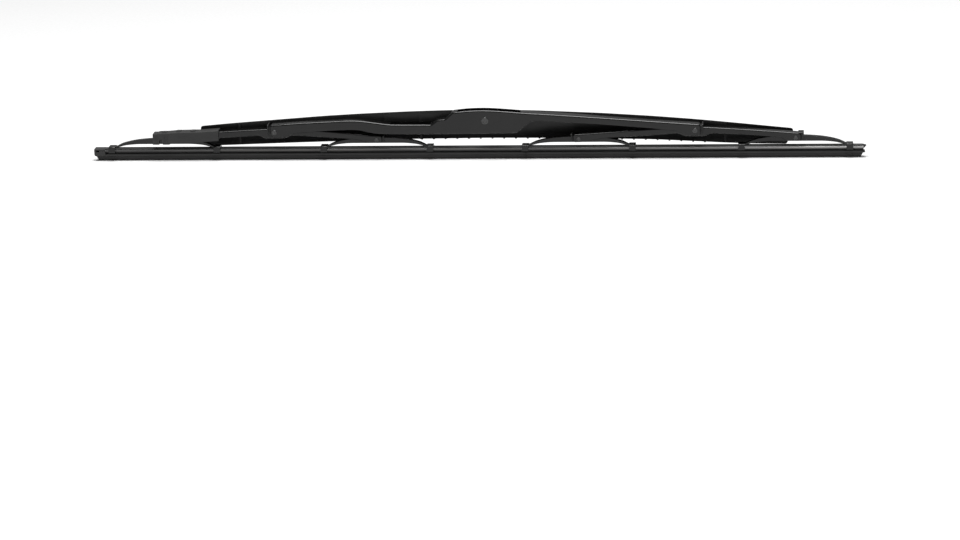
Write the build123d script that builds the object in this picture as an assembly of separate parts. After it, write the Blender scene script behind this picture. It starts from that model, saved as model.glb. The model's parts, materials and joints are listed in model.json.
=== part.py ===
from build123d import *
from math import pi, tan
import os

# Conventional 700 mm windshield wiper blade, in millimetres.
# Frame: origin at the centre of the arm pin, +X along the blade towards its plain end, +Y towards
# the spoiler, +Z away from the glass. Outlines are drawn in the XZ plane with heights measured up
# from the wiping edge, and every finished piece is lowered by PIN_HEIGHT into the frame.

# ---- driving dimensions ----
PIN_HEIGHT = 36.0          # arm pin above the wiping edge
REFILL_LEFT = -359.0       # rubber, from the moulded end ...
REFILL_RIGHT = 342.0       # ... to the cut end
CLAW_SPAN = 96.8           # distance between the two claws of a bow
CLAW_LENGTH = 6.0

BRIDGE_PIVOTS = {"left": -192.0, "right": 189.0}
BRIDGE_PIVOT_Z = 26.2
BOW_PIVOTS = {1: -294.0, 2: -99.0, 3: 84.2, 4: 278.9}
BOW_PIVOT_Z = 18.4

BRIDGE_HALF = 6.6          # outer half widths of the nested channels
BRIDGE_WALL = 1.1
YOKE_HALF = 4.5
YOKE_WALL = 1.0
BOW_HALF = 2.8
BOW_WALL = 0.8
BUSH_GAP = 0.08            # between a bush and the channel that swings in it
BRIDGE_BEND = 1.6          # outer radius where a channel's roof turns down into its walls
YOKE_BEND = 1.3
SWING_GAP = 0.08           # between a rivet and the hole that turns on it

PIN_RADIUS = 2.5
PIN_HEAD_RADIUS = 3.3
BRIDGE_RIVET_RADIUS = 1.5
BOW_RIVET_RADIUS = 1.1
HEAD_HEIGHT = 0.6
DISH_SHARE = 0.6           # radius of the dish in a rivet's head, as a share of the head's

RAIL_THICKNESS = 1.7
RAIL_Z = 8.8               # underside of the rails
RAIL_INNER = 1.45
RAIL_OUTER = 4.5

GENTLE_TURN = 0.25         # radians; outlines bend through smaller turns than this in one long arc
GENTLE_RADIUS = 600.0
SHARP_TURN = 0.9           # radians; corners sharper than this are only broken
SHARP_RADIUS = 2.2
MIDDLE_RADIUS = 3.0        # the turns in between
STRAIGHT_ON = 0.003        # radians; a turn too small to need an arc


# ---- geometry helpers ----
def plate(outline, half_width):
    """A solid as wide as two half widths, from an outline of (x, z) corners."""
    corners = [(x, -z) for x, z in outline]
    side_plane = Plane(origin=(0, 0, 0), x_dir=(1, 0, 0), z_dir=(0, 1, 0))
    face = make_face(side_plane * Polyline(corners, close=True))
    return extrude(face, amount=half_width, dir=(0, 1, 0), both=True)


def corner_radius(before, corner, after):
    """The largest arc that a corner's two runs allow, or a small one where the outline turns sharply."""
    run_in = Vector(*corner) - Vector(*before)
    run_out = Vector(*after) - Vector(*corner)
    turn = run_in.get_angle(run_out) * pi / 180
    if turn < STRAIGHT_ON:
        return 0
    room = 0.45 * min(run_in.length, run_out.length) / tan(turn / 2)
    if turn < GENTLE_TURN:
        return min(room, GENTLE_RADIUS)
    return min(room, SHARP_RADIUS if turn > SHARP_TURN else MIDDLE_RADIUS)


def smooth_plate(outline, half_width):
    """A plate whose corners are eased by arcs."""
    corners = [(x, -z) for x, z in outline]
    count = len(corners)
    radii = [corner_radius(corners[i - 1], corners[i], corners[(i + 1) % count]) for i in range(count)]
    side_plane = Plane(origin=(0, 0, 0), x_dir=(1, 0, 0), z_dir=(0, 1, 0))
    face = make_face(side_plane * FilletPolyline(*corners, radius=radii, close=True))
    return extrude(face, amount=half_width, dir=(0, 1, 0), both=True)


def cross_pin(x, z, radius, half_width):
    """A cylinder along Y."""
    return Pos(x, 0, z) * Rot(90, 0, 0) * Cylinder(radius, 2 * half_width)


def block(x_range, y_range, z_range):
    """A box between the given limits."""
    sizes = [high - low for low, high in (x_range, y_range, z_range)]
    centre = [(low + high) / 2 for low, high in (x_range, y_range, z_range)]
    return Pos(*centre) * Box(*sizes)


def round_roof(skin, half_width, radius):
    """Round the two long bends where a channel's roof turns down into its walls."""
    roof_faces = skin.faces().filter_by(lambda face: face.normal_at().Z > 0.2)
    bends = {edge for face in roof_faces for edge in face.edges() if abs(edge.center().Y) > half_width - 0.01}
    return fillet(bends, radius)


def channel(top, bottom, half_width, wall, roof, bend=0.0):
    """A pressed channel, open below: top edge left to right, bottom edge right to left."""
    skin = smooth_plate(top + bottom, half_width)
    if bend:
        skin = round_roof(skin, half_width, bend)
    lowered = [(x, z - roof) for x, z in top]
    left, right = top[0][0] - 3, top[-1][0] + 3
    hollow_outline = [(left, lowered[0][1])] + lowered[1:-1]
    hollow_outline += [(right, lowered[-1][1]), (right, -5), (left, -5)]
    return skin - smooth_plate(hollow_outline, half_width - wall)


def rivet(x, z, radius, head_radius, half_width):
    """A shank with a dished, domed head standing on each outer wall."""
    shank = cross_pin(x, z, radius, half_width + HEAD_HEIGHT)
    for side in (-1, 1):
        head_y = side * (half_width + HEAD_HEIGHT / 2)
        head = Pos(x, head_y, z) * Rot(90, 0, 0) * Cylinder(head_radius, HEAD_HEIGHT)
        rim = head.edges().filter_by(GeomType.CIRCLE).sort_by(Axis.Y)[0 if side < 0 else -1]
        shank += fillet(rim, HEAD_HEIGHT * 0.7)
        face_y = side * (half_width + HEAD_HEIGHT)
        shank -= Pos(x, face_y, z) * Rot(90, 0, 0) * Cylinder(head_radius * DISH_SHARE, HEAD_HEIGHT * 1.5)
    return shank


def save(name, solid):
    """Lower a piece into the frame and write it under its node's name."""
    export_step(Pos(0, 0, -PIN_HEIGHT) * solid, f"parts/{name}.step")


# ---- main bridge ----
BRIDGE_TOP = [(-196, 33.0), (-168, 35.0), (-146, 36.0), (-124, 37.0), (-114, 36.8), (-98, 34.6), (-87, 33.0),
              (-49, 32.7), (-43.5, 37.0), (-36, 37.9), (-29.5, 43.9), (-16, 45.4), (0, 45.8), (16, 44.8),
              (34, 43.2), (68, 41.0), (104, 38.4), (149, 35.0), (194, 31.7)]
BRIDGE_BOTTOM = [(194, 21.3), (180, 21.3), (173, 25.4), (149, 28.0), (104, 31.7), (67, 34.1), (49, 35.5),
                 (44.5, 35.3), (40.5, 34.0), (36.5, 31.3), (31.5, 26.8), (28.5, 24.9), (25, 24.2),
                 (-82, 23.5), (-98, 24.0), (-106, 25.4), (-114, 27.5),
                 (-124, 27.9), (-146, 26.9), (-174, 25.2), (-181, 21.7), (-193.5, 21.7), (-196, 24.5)]
BOSS_MOUTH = (-25.0, 32.0)         # open roof over the pin, where the arm's hook goes in
HOOK_WINDOW = (-86.0, -50.0)       # open roof behind the boss, where the hook's tail lies
PEG_PLACES = [(-150.0, 31.5), (-62.0, 28.2), (64.0, 37.6), (138.0, 32.0)]
PEG_RADIUS = 1.5


def main_bridge():
    """The largest lever, with the boss that takes the arm."""
    body = channel(BRIDGE_TOP, BRIDGE_BOTTOM, BRIDGE_HALF, BRIDGE_WALL, roof=1.2, bend=BRIDGE_BEND)
    inner = BRIDGE_HALF - BRIDGE_WALL
    for left, right in (BOSS_MOUTH, HOOK_WINDOW):
        body -= block((left, right), (-inner, inner), (28, 50))
    body -= cross_pin(0, PIN_HEIGHT, PIN_RADIUS, BRIDGE_HALF + 1)
    for x in BRIDGE_PIVOTS.values():
        body -= cross_pin(x, BRIDGE_PIVOT_Z, BRIDGE_RIVET_RADIUS, BRIDGE_HALF + 1)
    for x, z in PEG_PLACES:
        body -= Pos(x, BRIDGE_HALF, z) * Rot(90, 0, 0) * Cylinder(PEG_RADIUS, 4)
    return body


def hook_adaptor():
    """The plastic block on the arm pin that fills the arm's hook."""
    core_half = 4.6
    cheek_half = 5.3
    nose = cross_pin(0, PIN_HEIGHT, 4.4, core_half)
    tail = plate([(0, 31.6), (0, 40.4), (19, 38.8), (21, 37.2), (21, 33.4), (19, 31.6)], core_half)
    body = nose + tail
    cheek_outline = [(-6, 30.0), (-7.5, 33), (-7.5, 39), (-5, 41.5), (6, 41.8), (22, 40.0), (22, 31.5),
                     (20, 30.0)]
    for side in (-1, 1):
        middle = side * (core_half + cheek_half) / 2
        body += Pos(0, middle, 0) * plate(cheek_outline, (cheek_half - core_half) / 2)
    return body - cross_pin(0, PIN_HEIGHT, PIN_RADIUS + SWING_GAP, cheek_half + 1)


# ---- yokes ----
YOKE_OUTLINES = {
    "left": (
        [(-300, 24.2), (-272, 25.2), (-240, 26.9), (-204, 28.9), (-180, 29.0), (-150, 27.4), (-127, 25.2),
         (-108, 23.0), (-94, 22.3)],
        [(-94, 15.6), (-106, 15.6), (-118, 18.9), (-140, 20.3), (-165, 22.5), (-177, 22.8), (-183, 20.2),
         (-201, 20.2), (-206, 23.0), (-235, 21.2), (-270, 19.0), (-285, 18.0), (-289, 15.6), (-300, 15.6)]),
    "right": (
        [(79, 22.6), (94, 23.4), (117, 25.0), (140, 26.8), (175, 28.9), (197, 28.9), (228, 27.0), (264, 24.4),
         (284, 22.8)],
        [(284, 15.4), (271, 15.4), (266, 18.6), (250, 20.0), (233, 21.6), (203, 22.9), (198, 20.3),
         (180, 20.3), (173, 23.2), (152, 21.4), (119, 19.5), (103, 18.6), (91, 15.4), (79, 15.2)])}
YOKE_BOWS = {"left": (1, 2), "right": (3, 4)}
BOW_COLLAR_TOP = {1: 22.8, 2: 23.0, 3: 23.3, 4: 23.9}
BOW_COLLARS = {1: (0.8, 1.0), 2: (0.8, 1.0), 3: (0.8, 1.0), 4: (0.1, 2.2)}      # gap and thickness


def yoke(side):
    """A secondary lever: riveted in the bridge, with a bow in each end."""
    top, bottom = YOKE_OUTLINES[side]
    body = channel(top, bottom, YOKE_HALF, YOKE_WALL, roof=1.1, bend=YOKE_BEND)
    body -= cross_pin(BRIDGE_PIVOTS[side], BRIDGE_PIVOT_Z, BRIDGE_RIVET_RADIUS + SWING_GAP, YOKE_HALF + 1)
    for bow in YOKE_BOWS[side]:
        body -= cross_pin(BOW_PIVOTS[bow], BOW_PIVOT_Z, BOW_RIVET_RADIUS, YOKE_HALF + 1)
    return body


BUSH_ROOF = 0.5
COLLAR_PROUD = 0.35        # how far the flange stands out over the lever's walls
COLLAR_CORNER = 1.3
CAPPED_BUSH = 4            # this bush also reaches back over the yoke's roof
CAP_LENGTH = 2.6
CAP_HEIGHTS = (22.4, 23.9)
CAP_FLOOR = 23.15


def collar(lever_end, outward, gap, thickness, half, heights):
    """The flange of a bush, past the outer lever's end, with its top corners rounded."""
    length = sorted((lever_end + outward * gap, lever_end + outward * (gap + thickness)))
    body = block(length, (-half, half), heights)
    return fillet(body.edges().filter_by(Axis.X).group_by(Axis.Z)[-1], COLLAR_CORNER)


def bush(sleeve, flange, x, pivot_z, hole, inner_half, low, inner_top):
    """A plastic bush: a sleeve on both sides of the inner lever and over it, and a flange at its end."""
    body = (sleeve - cross_pin(x, pivot_z, hole, BRIDGE_HALF)) + flange
    ends = body.bounding_box()
    return body - block((ends.min.X - 1, ends.max.X + 1), (-inner_half, inner_half), (low - 1, inner_top))


def bridge_bush(side):
    """The bush between a bridge end and its yoke."""
    outward = -1 if side == "left" else 1
    lever_end, roof_z = BRIDGE_TOP[0] if side == "left" else BRIDGE_TOP[-1]
    x = BRIDGE_PIVOTS[side]
    half = BRIDGE_HALF - BRIDGE_WALL
    low, high = 22.4, 30.45
    gap = 1.3
    sleeve = block(sorted((x - outward * 8.0, lever_end + outward * (gap + 0.5))), (-half, half), (low, high))
    flange = collar(lever_end, outward, gap, 1.0, BRIDGE_HALF + COLLAR_PROUD, (24.6, roof_z + 0.2))
    inner_half = YOKE_HALF + BUSH_GAP
    return bush(sleeve, flange, x, BRIDGE_PIVOT_Z, BRIDGE_RIVET_RADIUS, inner_half, low, high - BUSH_ROOF)


def bow_bush(number):
    """The bush between a yoke end and its bow."""
    side = "left" if number in YOKE_BOWS["left"] else "right"
    outward = -1 if number == YOKE_BOWS[side][0] else 1
    top = YOKE_OUTLINES[side][0]
    lever_end = top[0][0] if outward < 0 else top[-1][0]
    x = BOW_PIVOTS[number]
    half = YOKE_HALF - YOKE_WALL
    low, high = 15.9, 21.1
    gap, thickness = BOW_COLLARS[number]
    sleeve = block(sorted((x - outward * 4.4, lever_end + outward * (gap + 0.5))), (-half, half), (low, high))
    flange_half = YOKE_HALF + COLLAR_PROUD
    flange = collar(lever_end, outward, gap, thickness, flange_half, (16.8, BOW_COLLAR_TOP[number]))
    if number == CAPPED_BUSH:
        length = CAP_LENGTH + gap + thickness
        cap = collar(lever_end, outward, -CAP_LENGTH, length, flange_half, CAP_HEIGHTS)
        room_half = YOKE_HALF + BUSH_GAP
        roof_length = (lever_end - CAP_LENGTH - 1, lever_end + gap)
        flange += cap - block(roof_length, (-room_half, room_half), (0, CAP_FLOOR))
    return bush(sleeve, flange, x, BOW_PIVOT_Z, BOW_RIVET_RADIUS, BOW_HALF + BUSH_GAP, low, high - BUSH_ROOF)


# ---- claw bows ----
BOW_HALF_TOP = [(0, 20.3), (12, 20.1), (24, 19.1), (33, 17.5), (40, 15.5), (44.6, 13.1)]
BOW_HALF_BOTTOM = [(45.4, 12.3), (42, 12.7), (36, 14.3), (26, 15.3), (0, 15.5)]
CLAW_TOP = 13.1
CLAW_BOTTOM = 7.4
CLAW_HALF = 5.7
CLAW_WALL = 0.9
FINGER_TIP = 3.1


def claw(x):
    """The folded end of a bow: over the rubber's head and in under both rails."""
    ends = (x - CLAW_LENGTH / 2, x + CLAW_LENGTH / 2)
    body = block(ends, (-CLAW_HALF, CLAW_HALF), (CLAW_BOTTOM, CLAW_TOP))
    body = fillet(body.edges().filter_by(Axis.X), 0.85)
    body -= block(ends, (-CLAW_HALF + CLAW_WALL, CLAW_HALF - CLAW_WALL), (CLAW_BOTTOM + 1.0, CLAW_TOP - 1.0))
    return body - block(ends, (-FINGER_TIP, FINGER_TIP), (CLAW_BOTTOM - 1, CLAW_TOP - 2))


def claw_bow():
    """One bow about its own pivot line, the same for all four."""
    top = [(-x, z) for x, z in reversed(BOW_HALF_TOP[1:])] + BOW_HALF_TOP
    bottom = BOW_HALF_BOTTOM[:-1] + [(-x, z) for x, z in reversed(BOW_HALF_BOTTOM[:-1])]
    body = channel(top, bottom, BOW_HALF, BOW_WALL, roof=0.9)
    body -= cross_pin(0, BOW_PIVOT_Z, BOW_RIVET_RADIUS + SWING_GAP, BOW_HALF + 1)
    for side in (-1, 1):
        strip_ends = sorted((side * 43.2, side * (CLAW_SPAN / 2 - 2)))
        body += block(strip_ends, (-BOW_HALF, BOW_HALF), (12.1, CLAW_TOP))
        body += claw(side * CLAW_SPAN / 2)
    return body


# ---- end cover ----
COVER_OUTLINE = [(-303.9, 25.2), (-300.4, 25.2), (-298.6, 25.8), (-292, 25.8), (-281, 26.7), (-262, 27.0),
                 (-243.5, 28.2), (-243.5, 18.7), (-262, 17.4), (-286, 16.8), (-289, 15.4), (-303.9, 15.4)]
COVER_HOLLOW = [(-302.9, 23.5), (-300.6, 23.5), (-300.2, 24.7), (-291, 24.7), (-281, 25.6), (-262, 25.9),
                (-242, 27.2), (-242, 0), (-302.9, 0)]
COVER_RIDGES = [(-293.5, 25.8), (-280.6, 26.7), (-267.4, 26.9)]     # across the roof: place and height
COVER_RIBS = (-300.4, -293.4, -291.0)                               # upright, on both walls
ARCH_HALF = 1.7
ARCH_TOP = 18.4
COVER_HALF = 6.3
COVER_WALL = 1.1


def end_cover():
    """The moulded cap that snaps over the left yoke's outer end."""
    body = plate(COVER_OUTLINE, COVER_HALF)
    top_edges = body.edges().filter_by(lambda e: abs(e.center().Y) > COVER_HALF - 0.1 and e.center().Z > 24)
    body = fillet(top_edges, 0.5)
    body -= plate(COVER_HOLLOW, COVER_HALF - COVER_WALL)
    body -= block((-306, -302), (-3.6, 3.6), (0, 22.6))
    arch_x = BOW_PIVOTS[1] - 2.4
    body -= Pos(arch_x, -COVER_HALF, ARCH_TOP) * Rot(90, 0, 0) * Cylinder(ARCH_HALF, 4)
    body -= block((arch_x - ARCH_HALF, arch_x + ARCH_HALF), (-COVER_HALF - 1, -COVER_HALF + 2), (0, ARCH_TOP))
    for x in COVER_RIBS:
        for wall_y in (-COVER_HALF, COVER_HALF):
            body += block((x - 0.45, x + 0.45), (wall_y - 0.45, wall_y + 0.45), (16.2, 23.2))
    for x, roof_z in COVER_RIDGES:
        body += block((x - 2, x + 2), (-4, 4), (roof_z - 0.5, roof_z + 0.5))
    return body


# ---- spoiler ----
SPOILER_TOP = [(-262.6, 29.2), (-234, 31.8), (-188, 35.3), (-148, 38.3), (-114, 40.2), (-70, 42.0),
               (-33, 43.0), (37, 42.6), (104, 39.6), (150, 36.6), (189, 33.4), (230, 29.2), (277.8, 24.0)]
SPOILER_BOTTOM = [(271, 8.9), (240, 9.3), (213, 10.5), (193, 11.7), (150, 14.1), (70, 15.9), (0, 16.3),
                  (-70, 15.6), (-172, 12.7), (-218, 11.1), (-257, 9.7)]
SPOILER_THICKNESS = 1.8
RIB_PLACES = (-226.0, -92.0, -60.0, 216.0)
TEETH = (-70.0, 198.0)     # small teeth hang from the lower edge between these places
TOOTH_PITCH = 10.7


def spoiler_section(offset):
    """The air foil's curve in the YZ plane, from its lip out and up to its upper edge."""
    lower = [(17.5 - offset, 8.0), (14.2 - offset, 16.0)]
    upper = [(10.6 - offset * 0.9, 28.0), (9.4 - offset * 0.8, 45.0)]
    return Spline(lower + upper)


def spoiler_shell():
    """The foil as one curved strip."""
    outer = spoiler_section(0)
    inner = spoiler_section(SPOILER_THICKNESS)
    ends = [Line(outer @ 0, inner @ 0), Line(inner @ 1, outer @ 1)]
    section = Plane.YZ.offset(-280) * make_face([outer, ends[0], inner, ends[1]])
    return extrude(section, amount=580, dir=(1, 0, 0))


def lower_edge(x):
    """Height of the spoiler's lower edge at a place along it."""
    for (right, right_z), (left, left_z) in zip(SPOILER_BOTTOM, SPOILER_BOTTOM[1:]):
        if left <= x <= right:
            return left_z + (right_z - left_z) * (x - left) / (right - left)
    raise ValueError(f"the lower edge doesn't reach {x}")


def spoiler():
    """The foil behind the bridge, with its ribs and the pegs that hold it to the bridge's wall."""
    outline = Pos(0, 12, 0) * smooth_plate(SPOILER_TOP + SPOILER_BOTTOM, 12)
    shell = spoiler_shell()
    body = shell & outline
    rib_face = BRIDGE_HALF + 1.0
    foil, lip, upper = spoiler_section(0.9), (16.6, 8.0), (8.68, 45.0)
    rib_section = make_face([foil, Polyline(lip, (rib_face, 20.0), (rib_face, 45.0), upper)])
    rib_room = extrude(Plane.YZ.offset(-280) * rib_section, amount=580, dir=(1, 0, 0)) & outline
    for x in RIB_PLACES:
        body += rib_room & block((x - 0.9, x + 0.9), (0, 30), (0, 60))
    teeth = round((TEETH[1] - TEETH[0]) / TOOTH_PITCH)
    for number in range(teeth + 1):
        x = TEETH[0] + number * TOOTH_PITCH
        z = lower_edge(x)
        body += shell & block((x - 0.8, x + 0.8), (0, 30), (z - 0.8, z + 0.8))
    for x, z in PEG_PLACES:
        pad = block((x - 3, x + 3), (BRIDGE_HALF, 10.0), (z - 2.6, z + 2.6))
        peg = Pos(x, BRIDGE_HALF - BRIDGE_WALL / 2, z) * Rot(90, 0, 0) * Cylinder(PEG_RADIUS, BRIDGE_WALL)
        body += pad + peg
    return body


# ---- refill ----
HALF_PROFILE = [(0.45, 0.0), (0.45, 3.4), (2.9, 4.6), (2.9, 6.4), (0.8, 6.6), (0.8, 7.5), (2.8, 7.7),
                (2.8, 8.7), (1.35, 8.7), (1.35, 10.6), (3.2, 10.6), (3.2, 11.2), (2.6, 11.7)]
END_BLOCK = 10.0           # length of the moulded end, where the slots stop
# How far the cut end stands back at each height: the head and the flange reach furthest
CUT_END = [(0, 5.0), (4.2, 2.8), (4.8, 0.8), (5.8, 0.8), (6.4, 2.6), (8.6, 2.6), (9.2, 0.4), (10.6, 0.0),
           (11.7, 4.5)]
RAIL_SETBACK = 2.2


def rubber_element():
    """The wiping rubber, with its moulded left end and its slanted cuts at the lip."""
    corners = HALF_PROFILE + [(-y, z) for y, z in reversed(HALF_PROFILE)]
    section = Plane.YZ.offset(REFILL_LEFT) * make_face(Polyline(corners, close=True))
    body = extrude(section, amount=REFILL_RIGHT - REFILL_LEFT, dir=(1, 0, 0))
    end = block((REFILL_LEFT, REFILL_LEFT + END_BLOCK), (-RAIL_OUTER, RAIL_OUTER), (6.0, 11.7))
    end -= block((REFILL_LEFT + 1.6, REFILL_LEFT + 4.6), (-6, 6), (8.4, 9.6))
    body += end
    outer = REFILL_LEFT - 1
    body -= plate([(outer, 6.4), (REFILL_LEFT, 5.6), (REFILL_LEFT + 3.4, 0), (outer, 0)], 6)
    cut_end = [(REFILL_RIGHT - setback, z) for z, setback in CUT_END]
    body -= plate([(REFILL_RIGHT + 1, 0)] + cut_end + [(REFILL_RIGHT + 1, 12)], 6)
    return body


def rail(side):
    """A stainless steel strip that lies in the rubber's slot."""
    left = REFILL_LEFT + END_BLOCK
    right = REFILL_RIGHT - RAIL_SETBACK
    across = tuple(sorted((side * RAIL_INNER, side * RAIL_OUTER)))
    strip = block((left, right), across, (RAIL_Z, RAIL_Z + RAIL_THICKNESS))
    return fillet(strip.edges().filter_by(Axis.X), 0.2)


# ---- write every piece ----
os.makedirs("parts", exist_ok=True)

save("main_bridge", main_bridge())
save("hook_adaptor", hook_adaptor())
save("arm_pin", rivet(0, PIN_HEIGHT, PIN_RADIUS, PIN_HEAD_RADIUS, BRIDGE_HALF))
for side_name, pivot_x in BRIDGE_PIVOTS.items():
    save(f"{side_name}_yoke", yoke(side_name))
    save(f"bridge_bush_{side_name}", bridge_bush(side_name))
    save(f"bridge_rivet_{side_name}", rivet(pivot_x, BRIDGE_PIVOT_Z, BRIDGE_RIVET_RADIUS, 2.4, BRIDGE_HALF))
bow_solid = claw_bow()
for bow_number, pivot_x in BOW_PIVOTS.items():
    save(f"claw_bow_{bow_number}", Pos(pivot_x, 0, 0) * bow_solid)
    save(f"bow_bush_{bow_number}", bow_bush(bow_number))
    save(f"bow_rivet_{bow_number}", rivet(pivot_x, BOW_PIVOT_Z, BOW_RIVET_RADIUS, 1.9, YOKE_HALF))
save("end_cover", end_cover())
save("spoiler", spoiler())
save("rubber_element", rubber_element())
save("rail_front", rail(-1))
save("rail_rear", rail(1))
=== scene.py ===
import json
from collections import namedtuple
from math import cos, pi, radians, sin

import bpy
from mathutils import Matrix, Vector


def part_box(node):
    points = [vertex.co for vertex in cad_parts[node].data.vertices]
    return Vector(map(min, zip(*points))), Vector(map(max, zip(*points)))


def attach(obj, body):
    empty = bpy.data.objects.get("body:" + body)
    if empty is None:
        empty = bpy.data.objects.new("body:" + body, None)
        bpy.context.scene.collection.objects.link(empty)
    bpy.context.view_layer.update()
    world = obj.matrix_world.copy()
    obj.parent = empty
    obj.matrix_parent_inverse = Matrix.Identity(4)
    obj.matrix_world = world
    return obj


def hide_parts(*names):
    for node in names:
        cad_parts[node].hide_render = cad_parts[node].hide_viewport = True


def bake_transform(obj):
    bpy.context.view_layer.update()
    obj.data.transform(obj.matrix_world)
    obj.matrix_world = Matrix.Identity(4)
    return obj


# Looks for the wiper blade, in metres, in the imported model's frame.
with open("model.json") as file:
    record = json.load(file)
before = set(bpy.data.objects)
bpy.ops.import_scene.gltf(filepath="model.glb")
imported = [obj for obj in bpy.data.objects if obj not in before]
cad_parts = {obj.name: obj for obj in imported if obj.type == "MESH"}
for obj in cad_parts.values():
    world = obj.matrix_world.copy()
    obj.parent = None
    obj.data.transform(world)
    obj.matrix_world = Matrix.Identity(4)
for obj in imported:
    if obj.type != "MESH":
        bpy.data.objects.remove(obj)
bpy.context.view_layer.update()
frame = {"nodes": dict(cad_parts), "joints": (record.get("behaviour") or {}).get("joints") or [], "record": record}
MM = 0.001

NODES = frame["nodes"]
JOINTS = {joint["name"]: joint for joint in frame["joints"]}
BOW_X = [JOINTS[f"bow_{number}_pivot"]["pos_m"][0] for number in (1, 2, 3, 4)]
FLEX_X = JOINTS["refill_flex"]["pos_m"][0]
RUBBER_LOW, RUBBER_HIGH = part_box("rubber_element")
WIPING_EDGE_Z = RUBBER_LOW.z
REFILL_LEFT = RUBBER_LOW.x
REFILL_RIGHT = RUBBER_HIGH.x

# ---- driving values: edges of the CAD pieces ----
EDGE_RADIUS = {"black_lacquer": 0.42 * MM, "rivet_steel": 0.12 * MM, "cover_plastic": 0.3 * MM,
               "spoiler_plastic": 0.3 * MM, "bush_plastic": 0.15 * MM, "adaptor_plastic": 0.3 * MM}
EDGE_SEGMENTS = 3
EDGE_ANGLE = radians(38)            # only corners sharper than this are broken
WELD_DISTANCE = 0.01 * MM

# ---- driving values: refill ----
# Heights are above the wiping edge, widths are from the blade's middle plane, all in millimetres.
# Half of the rubber's section, from the lip up to the middle of the head, as (half width, height)
RUBBER_HALF = [(0.30, 0.0), (0.42, 0.12), (0.45, 1.6), (0.50, 3.1), (0.75, 3.6), (2.35, 4.25), (2.75, 4.6),
               (2.9, 5.1), (2.9, 6.0), (2.7, 6.35), (1.1, 6.55), (0.8, 6.8), (0.8, 7.3), (1.1, 7.55),
               (2.6, 7.7), (2.8, 7.9), (2.8, 8.5), (2.65, 8.67), (1.45, 8.7), (1.36, 8.8), (1.36, 10.5),
               (1.5, 10.58), (2.95, 10.6), (3.2, 10.75), (3.2, 11.1), (3.0, 11.4), (2.4, 11.62), (0.9, 11.7)]

# The moulded end is three blocks in a row, as (from, to, side), measured from the left end.
# They share a lower and an upper half section, and differ in the side between.
END_LOW = [(0.30, 0.0), (0.42, 0.12), (0.45, 1.6), (0.50, 3.1), (0.75, 3.6), (2.6, 4.2), (3.6, 4.7),
           (4.1, 5.3), (4.15, 6.4), (4.2, 7.0)]
END_HIGH = [(4.3, 10.2), (4.3, 10.5), (4.1, 11.0), (3.4, 11.5), (2.0, 11.7)]
PLAIN_SIDE = [(4.3, 8.3), (4.3, 9.8)]
SLOTTED_SIDE = [(4.3, 8.2), (1.4, 8.5), (1.4, 9.6), (4.3, 9.9)]
STEPPED_SIDE = [(4.3, 8.3), (4.4, 8.5), (4.4, 8.7), (3.9, 9.0), (3.9, 9.6)]
MOULDED_LENGTH = 10
MOULDED_BLOCKS = [(0, 1.6, PLAIN_SIDE), (1.6, 4.6, SLOTTED_SIDE), (4.6, MOULDED_LENGTH, STEPPED_SIDE)]

# How far each end stands back, as (height, setback)
MOULDED_END = [(0, 3.4), (5.6, 0.0), (10.9, 0.0), (11.7, 0.6)]
CUT_END = [(0, 5.0), (4.2, 2.8), (4.8, 0.8), (5.8, 0.8), (6.4, 2.6), (8.6, 2.6), (9.2, 0.4), (10.6, 0.0),
           (11.7, 4.5)]

RAIL_INNER = 1.45
RAIL_OUTER = 4.5
RAIL_LOW = 8.8
RAIL_HIGH = 10.5
RAIL_ROUND = 0.3
RAIL_CORNER_POINTS = 4

QUARTER_TURN = pi / 2
RAIL_SETBACK = 2.2 * MM
STATION_STEP = 4 * MM               # short enough for a smooth bend
SMOOTH_ANGLE = radians(50)          # corners sharper than this stay crisp

# Where the refill bends between its bodies; this script leaves the strips straight.
BEND_START = 2 * MM                 # from a bow's pivot
BEND_END = 230 * MM                 # from a bow's pivot
MIDDLE_BEND = 38 * MM               # to each side of the refill's flex
HALF_CLAW = 3 * MM
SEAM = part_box("claw_bow_3")[0].x + HALF_CLAW        # the two chains of bodies meet inside a claw
SEAM_LAP = 1 * MM
YOKE_MIDDLE = ((BOW_X[0] + BOW_X[1]) / 2, (BOW_X[2] + BOW_X[3]) / 2)

Stretch = namedtuple("Stretch", "start end holder towards bend_from bend_to")
STRETCHES = [
    Stretch(REFILL_LEFT, YOKE_MIDDLE[0], "bow_1", "left_yoke", BOW_X[0] + BEND_START, BOW_X[0] + BEND_END),
    Stretch(YOKE_MIDDLE[0], BOW_X[1], "bow_2", "left_yoke", BOW_X[1] - BEND_START, BOW_X[1] - BEND_END),
    Stretch(BOW_X[1], SEAM + SEAM_LAP, "bow_2", "refill", FLEX_X - MIDDLE_BEND, FLEX_X + MIDDLE_BEND),
    Stretch(SEAM, YOKE_MIDDLE[1], "bow_3", "right_yoke", BOW_X[2] + BEND_START, BOW_X[2] + BEND_END),
    Stretch(YOKE_MIDDLE[1], REFILL_RIGHT, "bow_4", "right_yoke", BOW_X[3] - BEND_START, BOW_X[3] - BEND_END)]

# ---- driving values: camera and studio ----
AZIMUTH = radians(5.0)
ELEVATION = radians(12.0)
DISTANCE = 3.0
AIM = Vector((0, 0, -14 * MM))
LENS = 124.3
SENSOR = 36
CLIP_END = 50
ROLL = radians(-1.34)
LOOK_BELOW = radians(2.34)          # the blade stays in the upper part of the picture
LOOK_ASIDE = radians(0.1)

FLOOR_HALF = 6.0
FLOOR_GAP = 0.2 * MM
ROOM_LIGHT = 0.25
TOP_LIGHT_PLACE = Vector((0.1, -0.5, 3.0))
TOP_LIGHT_SIZE = 2.0
TOP_LIGHT_POWER = 180


# ---- material helpers ----
MIX_A, MIX_B, MIX_RESULT = 6, 7, 2      # the colour sockets of a mix node


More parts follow.
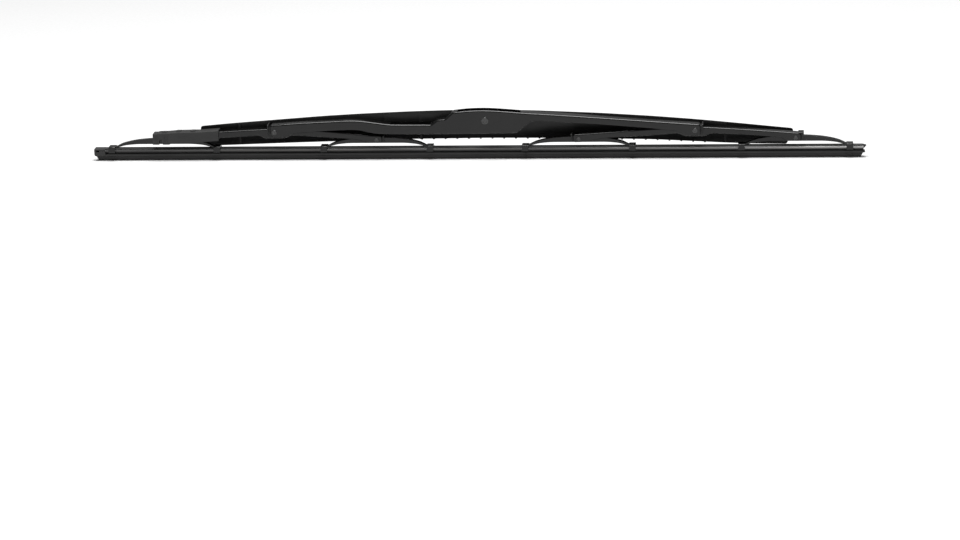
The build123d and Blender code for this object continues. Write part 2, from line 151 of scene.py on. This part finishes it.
class Paint:
    """A principled material and the few nodes that every finish here is made of."""

    def __init__(self, name, slot, metallic=0.0, specular=0.25):
        self.material = bpy.data.materials.new(name)
        self.material.use_nodes = True
        self.slot = slot
        self.tree = self.material.node_tree
        self.shader = self.tree.nodes["Principled BSDF"]
        self.shader.inputs["Metallic"].default_value = metallic
        self.shader.inputs["Specular IOR Level"].default_value = specular
        self.place = self.tree.nodes.new("ShaderNodeTexCoord").outputs["Object"]

    def node(self, kind, **inputs):
        made = self.tree.nodes.new(kind)
        for name, value in inputs.items():
            self.put(made.inputs[name.replace("_", " ")], value)
        return made

    def put(self, socket, value):
        """Link a socket to another, or give it a plain value."""
        if isinstance(value, bpy.types.NodeSocket):
            self.tree.links.new(value, socket)
        else:
            socket.default_value = value

    def along(self):
        """Distance along the blade from the arm's pin."""
        return self.node("ShaderNodeSeparateXYZ", Vector=self.place).outputs["X"]

    def noise(self, scale, detail=3.0, roughness=0.5, stretch=(1, 1, 1)):
        """Noise over the piece's own coordinates. A larger stretch makes it finer along that axis."""
        where = self.node("ShaderNodeMapping", Vector=self.place, Scale=stretch).outputs["Vector"]
        made = self.node("ShaderNodeTexNoise", Vector=where, Scale=scale, Detail=detail, Roughness=roughness)
        return made.outputs["Fac"]

    def spread(self, value, low=0, high=1, source_low=0.3, source_high=0.7):
        """Map a value onto a new range. Noise mostly lies between the default source limits."""
        made = self.node("ShaderNodeMapRange", Value=value)
        made.inputs["From Min"].default_value = source_low
        made.inputs["From Max"].default_value = source_high
        made.inputs["To Min"].default_value = low
        made.inputs["To Max"].default_value = high
        return made.outputs["Result"]

    def mix(self, factor, first, second):
        made = self.tree.nodes.new("ShaderNodeMix")
        made.data_type = "RGBA"
        self.put(made.inputs["Factor"], factor)
        self.put(made.inputs[MIX_A], first)
        self.put(made.inputs[MIX_B], second)
        return made.outputs[MIX_RESULT]

    def bump(self, height, distance, strength, under=None):
        made = self.node("ShaderNodeBump", Height=height, Distance=distance, Strength=strength)
        if under is not None:
            self.put(made.inputs["Normal"], under)
        return made.outputs["Normal"]

    def finish(self, colour, roughness, normal):
        self.put(self.shader.inputs["Base Color"], colour)
        self.put(self.shader.inputs["Roughness"], roughness)
        self.put(self.shader.inputs["Normal"], normal)
        return self


def grey(value, warmth=0.0):
    """A neutral linear colour, a little warm or cool."""
    return (value * (1 + warmth), value, value * (1 - warmth), 1.0)


# ---- materials ----
def powder_coat():
    """Satin black paint on pressed steel: fine orange peel, and a finer grit over it."""
    paint = Paint("black_powder_coat", "black_lacquer", specular=0.36)
    cloud = paint.noise(scale=60, detail=4)
    peel = paint.noise(scale=1600, detail=2)
    grit = paint.noise(scale=5200, detail=2)
    colour = paint.mix(paint.spread(cloud), grey(0.0015), grey(0.0035, warmth=0.02))
    roughness = paint.spread(peel, low=0.16, high=0.24)
    peeled = paint.bump(peel, distance=0.04 * MM, strength=0.4)
    normal = paint.bump(grit, distance=0.02 * MM, strength=0.5, under=peeled)
    return paint.finish(colour, roughness, normal)


def blackened_steel():
    """Rivet heads: blackened steel, rubbed unevenly."""
    paint = Paint("blackened_steel", "rivet_steel", metallic=0.9)
    rub = paint.noise(scale=900, detail=3)
    colour = paint.mix(paint.spread(rub), grey(0.05), grey(0.085))
    roughness = paint.spread(rub, low=0.20, high=0.34)
    return paint.finish(colour, roughness, paint.bump(rub, distance=0.06 * MM, strength=0.4))


def spring_rail():
    """Rolled stainless strip with its rolling lines along the blade, and painted light: brighter towards the plain
    end.
    """
    # where the painted light on the rail begins and where it is full, along the blade
    painted_light_from = 0.05
    painted_light_to = 0.3
    paint = Paint("rolled_stainless", "rail_steel", metallic=1.0)
    lines = paint.noise(scale=4, detail=4, roughness=0.6, stretch=(8, 900, 900))
    tarnish = paint.noise(scale=14, detail=3, stretch=(1, 4, 4))
    # painted light: the rail's colour runs from a shaded tone to a lit tone towards the plain end
    shaded_rail_colour = paint.mix(paint.spread(tarnish), grey(0.07), grey(0.11, warmth=0.02))
    lit_rail_colour = paint.mix(paint.spread(tarnish), grey(0.20), grey(0.28, warmth=0.01))
    painted_light_share = paint.spread(paint.along(), source_low=painted_light_from, source_high=painted_light_to)
    roughness = paint.spread(lines, low=0.26, high=0.44)
    normal = paint.bump(lines, distance=0.03 * MM, strength=0.5)
    return paint.finish(paint.mix(painted_light_share, shaded_rail_colour, lit_rail_colour), roughness, normal)


def wiping_rubber():
    """Graphited rubber, drawn out along the blade, with a patchy bloom and a fine grain."""
    paint = Paint("graphited_rubber", "wiping_rubber")
    drawn = paint.noise(scale=3, detail=4, roughness=0.6, stretch=(6, 700, 700))
    bloom = paint.noise(scale=30, detail=4, stretch=(1, 6, 6))
    grain = paint.noise(scale=3800, detail=2)
    base = paint.mix(paint.spread(bloom), grey(0.020), grey(0.030, warmth=0.02))
    colour = paint.mix(paint.spread(drawn, high=0.5), base, grey(0.042))
    lined = paint.bump(drawn, distance=0.06 * MM, strength=0.4)
    normal = paint.bump(grain, distance=0.03 * MM, strength=0.4, under=lined)
    return paint.finish(colour, paint.spread(drawn, low=0.46, high=0.62), normal)


def moulded_plastic(name, slot, shade, grain_scale=2400, roughness=0.5):
    """Moulded plastic with a fine spark-eroded grain and a faint flow pattern."""
    darker = grey(shade * 0.88)
    lighter = grey(shade * 1.12, warmth=0.01)
    paint = Paint(name, slot)
    grain = paint.noise(scale=grain_scale, detail=2)
    flow = paint.noise(scale=40, detail=3, stretch=(1, 3, 3))
    colour = paint.mix(paint.spread(flow), darker, lighter)
    uneven = paint.spread(grain, low=roughness - 0.06, high=roughness + 0.08)
    return paint.finish(colour, uneven, paint.bump(grain, distance=0.06 * MM, strength=0.45))


def paper_floor():
    """Light grey seamless paper, which the top light turns white."""
    paint = Paint("studio_paper", None)
    fibre = paint.noise(scale=300, detail=3)
    colour = paint.mix(paint.spread(fibre), grey(0.62), grey(0.65))
    return paint.finish(colour, 0.9, paint.bump(fibre, distance=0.05 * MM, strength=0.2))


COAT = powder_coat()
RIVET = blackened_steel()
RAIL = spring_rail()
RUBBER = wiping_rubber()
COVER = moulded_plastic("cover_plastic", "cover_plastic", shade=0.028)
SPOILER = moulded_plastic("spoiler_plastic", "spoiler_plastic", shade=0.010, grain_scale=2800, roughness=0.36)
BUSH = moulded_plastic("bush_acetal", "bush_plastic", shade=0.012, grain_scale=4200, roughness=0.34)
ADAPTOR = moulded_plastic("adaptor_acetal", "adaptor_plastic", shade=0.026, grain_scale=4200, roughness=0.4)
FINISH_BY_SLOT = {paint.slot: paint for paint in (COAT, RIVET, RAIL, RUBBER, COVER, SPOILER, BUSH, ADAPTOR)}


# ---- CAD pieces ----
def dress(piece, paint, edge_radius):
    """Give a CAD piece its finish, and break its edges as pressing or moulding does."""
    piece.data.materials.clear()
    piece.data.materials.append(paint.material)
    weld = piece.modifiers.new("weld", "WELD")
    weld.merge_threshold = WELD_DISTANCE
    bevel = piece.modifiers.new("edges", "BEVEL")
    bevel.width = edge_radius
    bevel.segments = EDGE_SEGMENTS
    bevel.limit_method = "ANGLE"
    bevel.angle_limit = EDGE_ANGLE
    bevel.harden_normals = True


def dress_cad_pieces():
    """Every CAD piece that stays visible gets the finish of its own slot."""
    for entry in frame["record"]["subparts"]:
        slot = entry["material_slot"]
        if slot in EDGE_RADIUS:
            dress(NODES[entry["node"]], FINISH_BY_SLOT[slot], EDGE_RADIUS[slot])


# ---- refill ----
def whole_section(half):
    """Both sides of a section, in metres, anticlockwise seen from +X."""
    right = [(y * MM, WIPING_EDGE_Z + z * MM) for y, z in half]
    return right + [(-y, z) for y, z in reversed(right)]


def setback(z, end):
    """How far back an end stands at a height."""
    height = (z - WIPING_EDGE_Z) / MM
    for (low, low_back), (high, high_back) in zip(end, end[1:]):
        if height <= high:
            share = max(0.0, (height - low) / (high - low))
            return (low_back + (high_back - low_back) * share) * MM
    return end[-1][1] * MM


def stations(start, end):
    """Evenly spaced places along the blade."""
    count = max(2, round((end - start) / STATION_STEP))
    return [start + (end - start) * step / count for step in range(count + 1)]


def points_along(section, places, left_end, right_end):
    """The section at each place, held within the shaped ends where they are given."""
    points = []
    for place in places:
        for y, z in section:
            x = place
            if left_end:
                x = max(x, REFILL_LEFT + setback(z, left_end))
            if right_end:
                x = min(x, REFILL_RIGHT - setback(z, right_end))
            points.append((x, y, z))
    return points


def faces_along(size, steps, closed):
    """Quads between sections that follow one another, and a flat face over each closed end."""
    faces = []
    for step in range(steps):
        here = step * size
        after = here + size
        for i in range(size):
            j = (i + 1) % size
            faces.append((here + i, after + i, after + j, here + j))
    if closed[0]:
        faces.append(tuple(range(size)))
    if closed[1]:
        faces.append(tuple(reversed(range(steps * size, (steps + 1) * size))))
    return faces


def loft(name, section, start, end, left_end=None, right_end=None, closed=(False, False)):
    """A mesh that carries one section along the blade."""
    places = stations(start, end)
    points = points_along(section, places, left_end, right_end)
    mesh = bpy.data.meshes.new(name)
    mesh.from_pydata(points, [], faces_along(len(section), len(places) - 1, closed))
    mesh.update()
    piece = bpy.data.objects.new(name, mesh)
    bpy.context.scene.collection.objects.link(piece)
    mesh.polygons.foreach_set("use_smooth", [True] * len(mesh.polygons))
    mesh.set_sharp_from_angle(angle=SMOOTH_ANGLE)
    return piece


def finish_piece(piece, paint, *nodes):
    """Paint a piece, and hide the CAD nodes it stands for."""
    piece.data.materials.append(paint.material)
    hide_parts(*nodes)


def rail_section(side):
    """A flat strip with rolled edges, in metres, on one side of the blade."""
    corners = [(RAIL_INNER, RAIL_LOW, 1, 1),            # corner, and which way its round's centre lies
               (RAIL_OUTER, RAIL_LOW, -1, 1),
               (RAIL_OUTER, RAIL_HIGH, -1, -1),
               (RAIL_INNER, RAIL_HIGH, 1, -1)]
    first_angles = (2 * QUARTER_TURN, 3 * QUARTER_TURN, 0, QUARTER_TURN)
    points = []
    for (y, z, inward_y, inward_z), first in zip(corners, first_angles):
        for step in range(RAIL_CORNER_POINTS):
            angle = first + step * QUARTER_TURN / (RAIL_CORNER_POINTS - 1)
            round_y = y + RAIL_ROUND * (inward_y + cos(angle))
            round_z = z + RAIL_ROUND * (inward_z + sin(angle))
            points.append((side * round_y * MM, WIPING_EDGE_Z + round_z * MM))
    return points if side > 0 else points[::-1]


def bend_with(piece):
    """Bake the placement of a stretch of the refill into its mesh; the stretch stays straight."""
    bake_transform(piece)


def rubber():
    """The wiping rubber, in stretches between the bows, and its moulded end on the first bow."""
    section = whole_section(RUBBER_HALF)
    for number, stretch in enumerate(STRETCHES, 1):
        is_first = number == 1
        is_last = number == len(STRETCHES)
        start = stretch.start + MOULDED_LENGTH * MM if is_first else stretch.start
        right_end = CUT_END if is_last else None
        piece = loft(f"rubber_{number}", section, start, stretch.end, right_end=right_end,
                     closed=(is_first, is_last))
        finish_piece(piece, RUBBER, "rubber_element")
        bend_with(piece)
    for number, (start, end, side) in enumerate(MOULDED_BLOCKS, 1):
        block = whole_section(END_LOW + side + END_HIGH)
        piece = loft(f"rubber_moulded_end_{number}", block, REFILL_LEFT + start * MM, REFILL_LEFT + end * MM,
                     left_end=MOULDED_END, closed=(True, True))
        finish_piece(piece, RUBBER, "rubber_element")
        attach(piece, "bow_1")


def rails():
    """Both spring rails, in the same stretches as the rubber."""
    for side, name in ((-1, "rail_front"), (1, "rail_rear")):
        for number, stretch in enumerate(STRETCHES, 1):
            is_first = number == 1
            is_last = number == len(STRETCHES)
            start = stretch.start + MOULDED_LENGTH * MM if is_first else stretch.start
            end = stretch.end - RAIL_SETBACK if is_last else stretch.end
            piece = loft(f"{name}_{number}", rail_section(side), start, end, closed=(is_first, is_last))
            finish_piece(piece, RAIL, name)
            bend_with(piece)


# ---- studio ----
def place_camera():
    """A long lens almost side on, aimed at the blade and then turned down and aside a little."""
    back = Vector((sin(AZIMUTH) * cos(ELEVATION), -cos(AZIMUTH) * cos(ELEVATION), sin(ELEVATION)))
    camera = bpy.data.objects.new("camera", bpy.data.cameras.new("camera"))
    bpy.context.scene.collection.objects.link(camera)
    camera.data.lens = LENS
    camera.data.sensor_width = SENSOR
    camera.data.clip_end = CLIP_END
    turn = back.to_track_quat("Z", "Y").to_matrix().to_4x4()
    turn = turn @ Matrix.Rotation(ROLL, 4, "Z")
    turn = turn @ Matrix.Rotation(LOOK_ASIDE, 4, "Y") @ Matrix.Rotation(-LOOK_BELOW, 4, "X")
    camera.matrix_world = Matrix.Translation(AIM + back * DISTANCE) @ turn
    bpy.context.scene.camera = camera


def lay_floor():
    """A sheet of paper just under the wiping edge."""
    z = WIPING_EDGE_Z - FLOOR_GAP
    corners = [(-FLOOR_HALF, -FLOOR_HALF, z), (FLOOR_HALF, -FLOOR_HALF, z),
               (FLOOR_HALF, FLOOR_HALF, z), (-FLOOR_HALF, FLOOR_HALF, z)]
    mesh = bpy.data.meshes.new("floor")
    mesh.from_pydata(corners, [], [(0, 1, 2, 3)])
    floor = bpy.data.objects.new("floor", mesh)
    bpy.context.scene.collection.objects.link(floor)
    mesh.materials.append(paper_floor().material)


def room_light():
    """A weak even light from all round."""
    world = bpy.data.worlds.new("studio")
    world.use_nodes = True
    world.node_tree.nodes["Background"].inputs["Color"].default_value = (1, 1, 1, 1)
    world.node_tree.nodes["Background"].inputs["Strength"].default_value = ROOM_LIGHT
    bpy.context.scene.world = world


def top_light():
    """A large soft light above and a little in front, aimed at the arm's pin."""
    lamp = bpy.data.lights.new("top", "AREA")
    lamp.shape = "SQUARE"
    lamp.size = TOP_LIGHT_SIZE
    lamp.energy = TOP_LIGHT_POWER
    light = bpy.data.objects.new("top", lamp)
    bpy.context.scene.collection.objects.link(light)
    light.location = TOP_LIGHT_PLACE
    light.rotation_euler = TOP_LIGHT_PLACE.to_track_quat("Z", "Y").to_euler()


def studio():
    """Paper under the blade, a weak light all round and one large light above."""
    lay_floor()
    room_light()
    top_light()
    # The default view transform would leave the paper grey.
    bpy.context.scene.view_settings.view_transform = "Standard"


dress_cad_pieces()
rubber()
rails()
place_camera()
studio()
